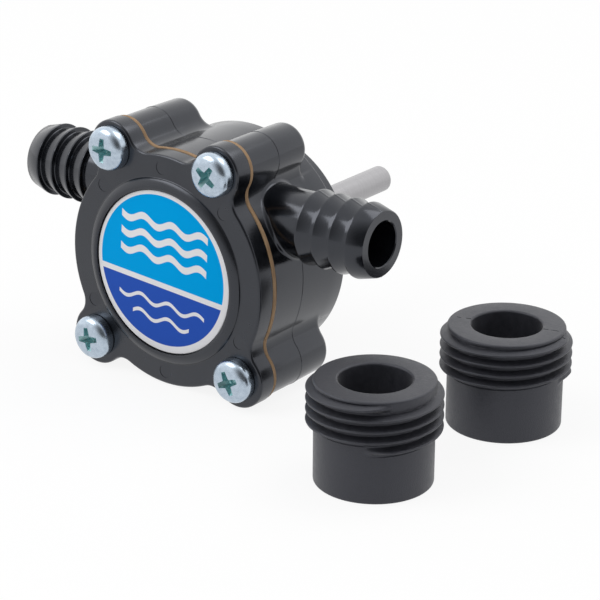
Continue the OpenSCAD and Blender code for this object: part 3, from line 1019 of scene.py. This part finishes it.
    def barb(self, side: int) -> Piece:
        """Models one solid hose barb from its tip to inside the body.

        Args:
            side: 1 for the right barb and -1 for the left one.

        Returns:
            The barb.
        """
        tip, slope = self.barb_reach, self.ridge_pitch - self.ridge_land - self.ridge_step
        rows = [(self.root_r - self.tip_chamfer, tip), (self.root_r, tip - self.tip_chamfer)]
        for i in range(self.ridge_count):
            x = tip - slope - i * self.ridge_pitch
            land_end = x - self.ridge_land
            foot = land_end - self.ridge_step
            if i:
                rows.append((self.root_r, x + slope - self.ridge_groove))
            rows.append((self.ridge_r - self.crest_soft / 2, x + self.crest_blend))
            rows.append((self.ridge_r, x - self.crest_blend / 2))
            rows.append((self.ridge_r, land_end + self.crest_soft))
            rows.append((self.ridge_r - self.crest_soft, land_end))
            rows.append((self.root_r + self.foot_soft, foot))
            rows.append((self.root_r, foot - self.foot_soft))
        rings = [self.barb_ring(side, r, x) for r, x in rows]
        return loft("hose_barb", rings + self.fillet_rings(side))

    def chamber(self) -> Piece:
        """Makes the cutter of the pump chamber, less the cam between the ports.

        Returns:
            The cutter.
        """
        drop = self.cam_r - CHAMBER_R + self.cam_lift
        places = []
        for a in (TURN * i / self.chamber_steps for i in range(self.chamber_steps)):
            cam = math.sqrt(self.cam_r**2 - (drop * math.cos(a)) ** 2) - drop * math.sin(a)
            r = min(CHAMBER_R, cam)
            places.append((r * math.cos(a), r * math.sin(a)))
        levels = (self.chamber_back, LEVELS.gasket_back + OVER)
        return loft("chamber", [level_ring(places, level) for level in levels])

    def port(self, side: int) -> Piece:
        """Makes the cutter of the bore through one barb, with its chamfered mouth.

        Args:
            side: 1 for the right barb and -1 for the left one.

        Returns:
            The cutter.
        """
        axis = Axis(Vector((0, -self.barb_level, self.barb_z)), Y, Z, X * side)
        mouth_r, tip = self.port_r + self.port_chamfer, self.barb_reach
        rows = [(self.port_r, CHAMBER_R / 2), (self.port_r, tip - self.port_chamfer), (mouth_r, tip)]
        rows.append((mouth_r, tip + OVER))
        return turned("port", axis, rows, self.port_sides)

    def build(self) -> None:
        """Joins the shapes of the housing, cuts its hollows and ties it to the pump."""
        piece, front = self.body(), LEVELS.gasket_back
        for side in (1, -1):
            combine(piece, self.barb(side), Combine.JOIN)
        combine(piece, self.chamber(), Combine.CUT)
        for side in (1, -1):
            combine(piece, self.port(side), Combine.CUT)
        holes = drill(SCREW_PLACES, SCREW_HOLE_R, front - self.screw_hole_depth, front + OVER)
        combine(piece, holes, Combine.CUT)
        starts = (-OVER, *(end for _, end in self.hub_bores))
        rows = [(r, level) for start, (r, end) in zip(starts, self.hub_bores) for level in (start, end)]
        combine(piece, turned("bores", PUMP_AXIS, rows, self.port_sides), Combine.CUT)
        smooth(piece, self.shade_angle)
        finish_piece(piece, "pump", ["pump_housing"], BLACK_NYLON)


@dataclass
class Screws:
    """The four pan head screws with cross recesses."""

    head_r: float = 4.75
    head_h: float = 3.4
    head_steps: int = 16
    head_sides: int = 96
    rim_h: float = 0.95
    rim_foot: float = 0.2
    rim_power: float = 0.62
    dome_power: float = 0.72
    shank_r: float = 2.5
    length: float = 16.0
    tip_chamfer: float = 0.5
    recess_l: float = 5.2
    recess_w: float = 1.7
    recess_d: float = 2.1
    arm_end_share: float = 0.62
    # Shares of the recess's length and width at its floor, at its lip and over the head
    arm_shares: tuple[Flat, ...] = ((0.4, 0.7), (1.0, 1.0), (1.3, 1.15))
    arm_lip: float = 0.15
    # Shares of the recess's width at the foot and the top of its middle, and how far each lies beyond
    core_rows: tuple[Flat, ...] = ((0.35, 0.4), (0.72, 0.5))
    core_sides: int = 24
    break_edge: float = 0.07
    break_angle: float = 38.0
    wall_reach_share: float = 0.56
    wall_floor: float = 0.6
    wall_sunk: float = 0.12
    # Powers of the curve that follows the dome, under which the recess's walls lie
    wall_powers: Flat = (3.2, 0.36)
    shade_angle: float = 40.0
    turns: tuple[float, ...] = (55.0, -3.0, 10.0, 24.0)

    def screw(self, lobe: Lobe, turn: float) -> Piece:
        """Models one screw in its place.

        Args:
            lobe: The lobe that it holds down.
            turn: Turn of its recess, in degrees.

        Returns:
            The screw.
        """
        axis = Axis(Vector((lobe.x, -LEVELS.gasket_front - FLANGE, lobe.z)), X, Z, -Y)
        tip = -self.length
        profile = [(self.shank_r - self.tip_chamfer, tip), (self.shank_r, tip + self.tip_chamfer)]
        profile += [(self.shank_r, 0.0), (self.head_r - self.rim_foot, 0.0), (self.head_r, self.rim_foot)]
        for t in quarter_turn(self.head_steps)[:-1]:
            rise = (self.head_h - self.rim_h) * math.sin(t) ** self.dome_power
            profile.append((self.head_r * math.cos(t) ** self.rim_power, self.rim_h + rise))
        piece = turned("cover_screw", axis, profile, self.head_sides, self.shade_angle)
        for quarter in (0, 90):
            combine(piece, self.recess_arm(axis, turn + quarter), Combine.CUT)
        (foot_share, deeper), (top_share, higher) = self.core_rows
        foot = (self.recess_w * foot_share, self.head_h - self.recess_d - deeper)
        core = [foot, (self.recess_w * top_share, self.head_h + higher)]
        combine(piece, turned("core", axis, core, self.core_sides), Combine.CUT)
        self.dress(piece, axis)
        return piece

    def recess_arm(self, axis: Axis, turn: float) -> Piece:
        """Makes the cutter of two opposite arms of the recess.

        Args:
            axis: The screw's axis.
            turn: Turn of the arms, in degrees.

        Returns:
            The cutter.
        """
        a = math.radians(turn)
        out = axis.across * math.cos(a) + axis.aside * math.sin(a)
        wide = axis.aside * math.cos(a) - axis.across * math.sin(a)
        rings, levels = [], (-self.recess_d, -self.arm_lip, OVER)
        for (long, broad), level in zip(self.arm_shares, levels):
            tip, half = self.recess_l / 2 * long, self.recess_w / 2 * broad
            end = half * self.arm_end_share
            corners = ((-tip, -end), (0.0, -half), (tip, -end), (tip, end), (0.0, half), (-tip, end))
            rings.append(drawn(axis.origin + axis.along * (self.head_h + level), out, wide, corners))
        return loft("arm", rings)

    def dress(self, piece: Piece, axis: Axis) -> None:
        """Breaks the recess's edges and gives its walls the green-blue passivate, darkened with painted shade.

        Args:
            piece: The screw.
            axis: Its axis.
        """
        bevel = piece.modifiers.new("edges", "BEVEL")
        bevel.width, bevel.segments, bevel.limit_method = self.break_edge * MM, 2, "ANGLE"
        bevel.angle_limit = math.radians(self.break_angle)
        choose(piece)
        bpy.ops.object.modifier_apply(modifier=bevel.name)
        piece.data.materials.append(ZINC_PLATE.material())
        piece.data.materials.append(ZINC_POOL_AND_SHADE.material())
        # Faces on the recess walls under the dome take the second material: the passivate's tint with painted
        # shade
        for face in piece.data.polygons:
            away = face.center / MM - axis.origin
            level = away.dot(axis.along)
            r = (away - axis.along * level).length
            inner = 1 - min(1.0, r / self.head_r) ** self.wall_powers[0]
            dome = self.rim_h + (self.head_h - self.rim_h) * inner ** self.wall_powers[1]
            in_reach = r < self.recess_l * self.wall_reach_share
            face.material_index = int(in_reach and self.wall_floor < level < dome - self.wall_sunk)
        smooth(piece, self.shade_angle)

    def build(self) -> None:
        """Models the four screws as one piece, as the frame holds them in one node."""
        made = [self.screw(lobe, turn) for lobe, turn in zip(LOBES, self.turns)]
        screws = join_pieces(made, "pan_head_screws")
        finish_piece(screws, "pump", ["cover_screws"], ZINC_PLATE)


@dataclass
class Rotor:
    """The drive shaft. The other turning pieces keep their solids from the frame."""

    r: float = 3.0
    sides: int = 128
    end_edge: float = 0.45
    groove_depth: float = 0.45
    clip_width: float = 0.82
    clip_levels: tuple[float, ...] = (0.9, 13.23, 29.05)
    flat_depth: float = 0.7
    flat_back: float = 14.05
    flat_front: float = 29.05

    def shaft(self) -> Piece:
        """Models the shaft with its rounded ends, its clip grooves and the flat for the impeller.

        Returns:
            The shaft.
        """
        back, front, root = LEVELS.shaft_back, LEVELS.shaft_front, self.r - self.groove_depth
        rows = [(r, 2 * back - level) for r, level in reversed(round_edge(self.r, back, self.end_edge))]
        for level in self.clip_levels:
            end = level + self.clip_width
            rows += [(self.r, level), (root, level), (root, end), (self.r, end)]
        rows += round_edge(self.r, front, self.end_edge)
        piece = turned("ground_shaft", PUMP_AXIS, rows, self.sides)
        side, low = self.r + OVER, self.r - self.flat_depth
        corners = ((-side, low), (side, low), (side, side), (-side, side))
        rings = [drawn(-Y * level, X, Z, corners) for level in (self.flat_front, self.flat_back)]
        combine(piece, loft("flat", rings), Combine.CUT)
        smooth(piece)
        return piece

    def build(self) -> None:
        """Models the shaft and ties it to the rotor."""
        finish_piece(self.shaft(), "rotor", ["drive_shaft"], GROUND_BAR)


@dataclass(frozen=True)
class Nick:
    """A small nick in a soft wall, as handling leaves it: angle in radians, level, wall radius, height."""

    angle: float
    level: float
    r: float
    tall: float


@dataclass
class Adapter:
    """A hose adapter: a soft sleeve with a moulded hose thread round its upper half."""

    node: str
    body: str
    thread_turn: float
    seam_turn: float = 0.0
    seam_marks: tuple[Flat, ...] = ()
    seam_width: float = 0.22
    seam_depth: float = 0.35
    nicks: tuple[Nick, ...] = ()
    # Shares of a nick's height, with its half width there
    nick_rows: tuple[Flat, ...] = ((-0.5, 0.06), (-0.2, 0.24), (0.2, 0.24), (0.5, 0.06))
    nick_depth_share: float = 1.2
    nick_width_share: float = 2.0
    nick_over: float = 0.5
    sleeve_r: float = 11.9
    bore_r: float = 7.25
    bore_edge: float = 0.2
    bore_row_shares: tuple[float, ...] = (0.75, 0.5, 0.25)
    mouth_edge: float = 0.5
    mouth_steps: int = 8
    collar_r: float = 12.1
    edge: float = 0.45
    crest_r: float = 13.5
    crest_drop: float = 0.04
    groove_r: float = 11.75
    pitch: float = 2.21
    turns: float = 4.07
    top_lead: float = 0.08
    thread_foot_share: float = 0.7
    foot_gap: float = 0.1
    # Shares of the pitch from the middle of a crest, and how much of its flank is rounded
    crest_share: float = 0.07
    flank_share: float = 0.36
    groove_share: float = 0.56
    lip_share: float = 0.6
    flank_round_share: float = 0.3
    run_out_turns: float = 0.07
    steps: int = 192
    rows_per_turn: int = 30
    row_slack: float = 0.01
    wall_slack: float = 0.05
    shade_angle: float = 50.0
    low: Vector = field(init=False)
    height: float = field(init=False)

    def __post_init__(self) -> None:
        """Reads the adapter's place and height from the frame."""
        low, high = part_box(self.node)
        self.low = Vector(((low.x + high.x) / 2, (low.y + high.y) / 2, low.z)) / MM
        self.height = (high.z - low.z) / MM

    def thread_start(self) -> float:
        """Gives the level of the thread's lowest crest."""
        return self.height - self.top_lead - self.pitch * (self.turns + 0.5)

    def thread_foot(self) -> float:
        """Gives the level below which the sleeve is plain."""
        return self.thread_start() - self.pitch * self.thread_foot_share

    def profile(self) -> list[Flat]:
        """Draws the closed profile, with many rows where the thread goes.

        Returns:
            Radii and levels over the adapter's foot.
        """
        top, foot = self.height, self.thread_foot()
        rows: list[Flat] = [(self.bore_r, self.bore_edge), (self.bore_r + self.bore_edge, 0.0)]
        rows += reversed(round_edge(self.sleeve_r, 0.0, self.edge, rising=False))
        rows.append((self.sleeve_r, foot - self.foot_gap))
        rise = top - self.edge - foot
        count = round(rise / self.pitch * self.rows_per_turn)
        rows += [(self.sleeve_r, foot + rise * i / count) for i in range(count)]
        rows += round_edge(self.collar_r, top, self.edge)
        mouth, edge = self.bore_r + self.mouth_edge, self.mouth_edge
        for t in quarter_turn(self.mouth_steps):
            rows.append((mouth - edge * math.sin(t), top - edge * (1 - math.cos(t))))
        return rows + [(self.bore_r, top * share) for share in self.bore_row_shares]

    def threaded(self, angle: float, level: float) -> float:
        """Gives the radius of the threaded wall at an angle and a level.

        Args:
            angle: Angle round the axis, in radians.
            level: Height over the adapter's foot.

        Returns:
            The radius.
        """
        turn = ((angle - self.thread_turn) % TURN) / TURN
        along = (level - self.thread_start()) / self.pitch - turn
        ridge = min(max(round(along), 0), math.floor(self.turns - turn))
        away, run = abs(along - ridge), ridge + turn
        over_thread = along > ridge and ridge + 1 + turn > self.turns
        plain = self.collar_r if over_thread or level > self.height - self.pitch else self.sleeve_r
        if away >= self.lip_share:
            return plain
        shares = (0.0, self.crest_share, self.flank_share, self.groove_share, self.lip_share)
        radii = (self.crest_r, self.crest_r - self.crest_drop, self.groove_r, self.groove_r, plain)
        k = max(i for i, share in enumerate(shares) if share <= away)
        part = (away - shares[k]) / (shares[k + 1] - shares[k])
        eased = part * part * (3 - 2 * part)
        part += self.flank_round_share * (eased - part)
        r = radii[k] + (radii[k + 1] - radii[k]) * part
        fades = (min(1.0, max(0.0, left / self.run_out_turns)) for left in (run, self.turns - run))
        return plain + (r - plain) * math.prod(fades)

    def raise_thread(self, piece: Piece) -> None:
        """Moves the wall's corners out to the helical thread.

        Args:
            piece: The spun sleeve.
        """
        foot, shoulder = self.thread_foot() - self.row_slack, self.height - self.edge - self.row_slack
        for vert in piece.data.vertices:
            away = vert.co / MM - self.low
            r = math.hypot(away.x, away.y)
            if r > self.sleeve_r - self.wall_slack and foot <= away.z < shoulder:
                grown = self.threaded(math.atan2(away.y, away.x), away.z) / r
                vert.co = (self.low + Vector((away.x * grown, away.y * grown, away.z))) * MM

    def seam_cutter(self, start: float, end: float) -> Piece:
        """Makes the cutter of one fine mark that the mould's seam left across the top.

        Args:
            start: Where the mark starts along the seam, from the axis.
            end: Where it ends.

        Returns:
            The cutter.
        """
        out = Vector((math.cos(self.seam_turn), math.sin(self.seam_turn), 0))
        half = self.seam_width / 2
        corners = ((start, -half), (end, -half), (end, half), (start, half))
        levels = (self.height - self.seam_depth, self.height + OVER)
        return loft("seam", [drawn(self.low + Z * level, out, Z.cross(out), corners) for level in levels])

    def nick_cutter(self, nick: Nick) -> Piece:
        """Makes the cutter of one small nick.

        Args:
            nick: Its place and size.

        Returns:
            The cutter.
        """
        out = Vector((math.cos(nick.angle), math.sin(nick.angle), 0))
        rings = []
        for share, half in self.nick_rows:
            wide, outside = half * self.nick_width_share, nick.r + self.nick_over
            corners = ((nick.r - half * self.nick_depth_share, 0.0), (outside, -wide), (outside, wide))
            rings.append(drawn(self.low + Z * (nick.level + nick.tall * share), out, Z.cross(out), corners))
        return loft("nick", rings)

    def build(self) -> None:
        """Spins the sleeve, raises its thread, cuts its marks and ties it to its body."""
        piece = spun(self.node + "_sleeve", Axis(self.low, X, Y, Z), self.profile(), self.steps)
        self.raise_thread(piece)
        for start, end in self.seam_marks:
            combine(piece, self.seam_cutter(start, end), Combine.CUT)
        for nick in self.nicks:
            combine(piece, self.nick_cutter(nick), Combine.CUT)
        smooth(piece, self.shade_angle)
        finish_piece(piece, self.body, [self.node], SOFT_PVC)


@dataclass(frozen=True)
class SoftBox:
    """A square soft box: place in metres, side in metres and power in watts."""

    name: str
    place: tuple[float, float, float]
    size: float
    power: float


@dataclass
class Studio:
    """Floor, light and camera, in metres and degrees."""

    camera_place: tuple[float, float, float] = (0.3181, -0.40594, 0.18675)
    yaw: float = 37.319
    pitch: float = 21.586
    roll: float = 0.369
    lens: float = 150.03
    sensor: float = 36.0
    clip: Flat = (0.01, 20.0)
    # The tent's strength for diffuse rays, and for mirrored rays by how near they run to its open front
    fill: float = 0.6
    tent_way: tuple[float, float, float] = (0.6, -0.74, 0.3)
    tent_from: float = 0.93
    tent_to: float = 0.5
    tent_dark: float = 0.12
    tent_bright: float = 1.1
    tent_back_from: float = 0.2
    tent_back_to: float = -0.8
    tent_back: float = 0.25
    floor_size: float = 6.0
    paper: str = "#f6f6f6"
    paper_glow: float = 1.02
    paper_glow_share: float = 0.86
    target: tuple[float, float, float] = (0.02, -0.02, 0.0)
    boxes: tuple[SoftBox, ...] = (
        SoftBox("key_box", (-0.45, -0.55, 0.75), 0.6, 3.2),
        SoftBox("top_box", (0.25, 0.35, 0.8), 0.5, 1.6),
    )

    def world(self) -> None:
        """Lights the scene as a white tent does, whose front is open and dark, and shows white behind it."""
        world = bpy.data.worlds.new("white_studio")
        bpy.context.scene.world = world
        world.use_nodes = True
        tree = world.node_tree
        rays = add_node(tree, "ShaderNodeLightPath").outputs
        way = add_node(tree, "ShaderNodeTexCoord").outputs["Generated"]
        dot = add_node(tree, "ShaderNodeVectorMath", {"operation": "DOT_PRODUCT"}, {0: way, 1: self.tent_way})
        near = dot.outputs["Value"]
        inputs = {0: near, 1: self.tent_from, 2: self.tent_to, 3: self.tent_dark, 4: self.tent_bright}
        front = add_node(tree, "ShaderNodeMapRange", inputs=inputs).outputs[0]
        inputs = {0: near, 1: self.tent_back_from, 2: self.tent_back_to, 4: self.tent_back}
        behind = add_node(tree, "ShaderNodeMapRange", inputs=inputs).outputs[0]
        inputs = {0: rays["Is Glossy Ray"], 2: self.fill, 3: sum_of(tree, "ADD", front, behind)}
        lit = add_node(tree, "ShaderNodeMix", inputs=inputs).outputs[0]
        seen = sum_of(tree, "MAXIMUM", rays["Is Camera Ray"], rays["Is Transmission Ray"])
        strength = add_node(tree, "ShaderNodeMix", inputs={0: seen, 2: lit, 3: 1.0})
        background = tree.nodes["Background"]
        background.inputs["Color"].default_value = (1, 1, 1, 1)
        tree.links.new(strength.outputs[0], background.inputs["Strength"])

    def floor(self) -> None:
        """Lays a white floor that shows nearly white and keeps a faint shadow."""
        deselect_all()
        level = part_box("hose_adapter_near")[0].z
        bpy.ops.mesh.primitive_plane_add(size=self.floor_size, location=(0, 0, 0))
        floor = bpy.context.object
        floor.name = "studio_floor"
        for vert in floor.data.vertices:
            vert.co.z = level
        # Matt white paper sweep: even and bright, so it gives the soft light from below
        paper = bpy.data.materials.new("white_paper_sweep")
        paper.use_nodes = True
        tree = paper.node_tree
        tree.nodes.remove(tree.nodes["Principled BSDF"])
        rays = add_node(tree, "ShaderNodeLightPath").outputs
        seen = sum_of(tree, "MAXIMUM", rays["Is Camera Ray"], rays["Is Glossy Ray"])
        seen = sum_of(tree, "MAXIMUM", seen, rays["Is Transmission Ray"])
        share = add_node(tree, "ShaderNodeMapRange", inputs={0: seen, 4: self.paper_glow_share})
        matt = add_node(tree, "ShaderNodeBsdfDiffuse", inputs={"Color": srgb(self.paper)})
        inputs = {"Color": (1, 1, 1, 1), "Strength": self.paper_glow}
        glow = add_node(tree, "ShaderNodeEmission", inputs=inputs)
        inputs = {0: share.outputs[0], 1: matt.outputs[0], 2: glow.outputs[0]}
        both = add_node(tree, "ShaderNodeMixShader", inputs=inputs)
        tree.links.new(both.outputs[0], tree.nodes["Material Output"].inputs["Surface"])
        floor.data.materials.append(paper)

    def lamp(self, box: SoftBox) -> None:
        """Adds a soft box that points at the target.

        Args:
            box: The soft box.
        """
        data = bpy.data.lights.new(box.name, "AREA")
        data.shape, data.size, data.energy = "SQUARE", box.size, box.power
        lamp = bpy.data.objects.new(box.name, data)
        bpy.context.scene.collection.objects.link(lamp)
        lamp.location = box.place
        way = Vector(self.target) - Vector(box.place)
        lamp.rotation_euler = way.to_track_quat("-Z", "Y").to_euler()

    def camera(self) -> None:
        """Sets the camera at the photograph's place and angle."""
        yaw, pitch, roll = (math.radians(a) for a in (self.yaw, self.pitch, self.roll))
        back = Vector((math.sin(yaw) * math.cos(pitch), -math.cos(yaw) * math.cos(pitch), math.sin(pitch)))
        right = Vector((math.cos(yaw), math.sin(yaw), 0))
        up = back.cross(right)
        across = right * math.cos(roll) + up * math.sin(roll)
        up = up * math.cos(roll) - right * math.sin(roll)
        data = bpy.data.cameras.new("camera")
        data.lens, data.sensor_width, data.sensor_fit = self.lens, self.sensor, "AUTO"
        data.clip_start, data.clip_end = self.clip
        camera = bpy.data.objects.new("camera", data)
        bpy.context.scene.collection.objects.link(camera)
        turn = Matrix((across, up, back)).transposed().to_4x4()
        camera.matrix_world = Matrix.Translation(Vector(self.camera_place)) @ turn
        bpy.context.scene.camera = camera

    def build(self) -> None:
        """Sets up the whole studio."""
        self.world()
        self.floor()
        for box in self.boxes:
            self.lamp(box)
        self.camera()
        bpy.context.scene.view_settings.view_transform = "Standard"
        log.info("studio: %d soft boxes and a white floor", len(self.boxes))


INNER_FINISHES: dict[str, Finish] = {
    "front_bush": SINTERED_BRONZE,
    "rear_bush": SINTERED_BRONZE,
    "seal_case": DRAWN_STEEL,
    "seal_lip": NITRILE,
    "garter_spring": DRAWN_STEEL,
    "impeller": NITRILE,
    "impeller_insert": TURNED_BRASS,
    "impeller_clip_front": SPRING_STEEL,
    "impeller_clip_rear": SPRING_STEEL,
    "slinger_ring": NITRILE,
    "thrust_washer": DRAWN_STEEL,
    "shaft_clip": SPRING_STEEL,
}
NEAR_THREAD_TURN = -1.1
FAR_THREAD_TURN = 0.13
FAR_SEAM_TURN = 0.3
FAR_SEAM_MARKS = ((7.5, 8.7), (9.2, 10.9), (-8.7, -7.5), (-10.6, -9.7))
FAR_NICKS = (Nick(0.19, 20.9, 12.3, 0.9),)


def dress_inner_pieces() -> None:
    """Gives the solids that stay their own surfaces."""
    for name, finish in INNER_FINISHES.items():
        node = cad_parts[name]
        node.data.materials.clear()
        node.data.materials.append(finish.material())
        log.info("%s: %s", name, finish.name)


def main() -> None:
    """Builds the studio and every piece, in order."""
    logging.basicConfig(level=logging.INFO, format="%(name)s: %(message)s")
    Studio().build()
    Cover().build()
    Housing().build()
    Screws().build()
    Rotor().build()
    Adapter("hose_adapter_near", "near_adapter", NEAR_THREAD_TURN).build()
    far = Adapter(
        "hose_adapter_far", "far_adapter", FAR_THREAD_TURN, FAR_SEAM_TURN, FAR_SEAM_MARKS, nicks=FAR_NICKS
    )
    far.build()
    dress_inner_pieces()


if __name__ == "__main__":
    main()
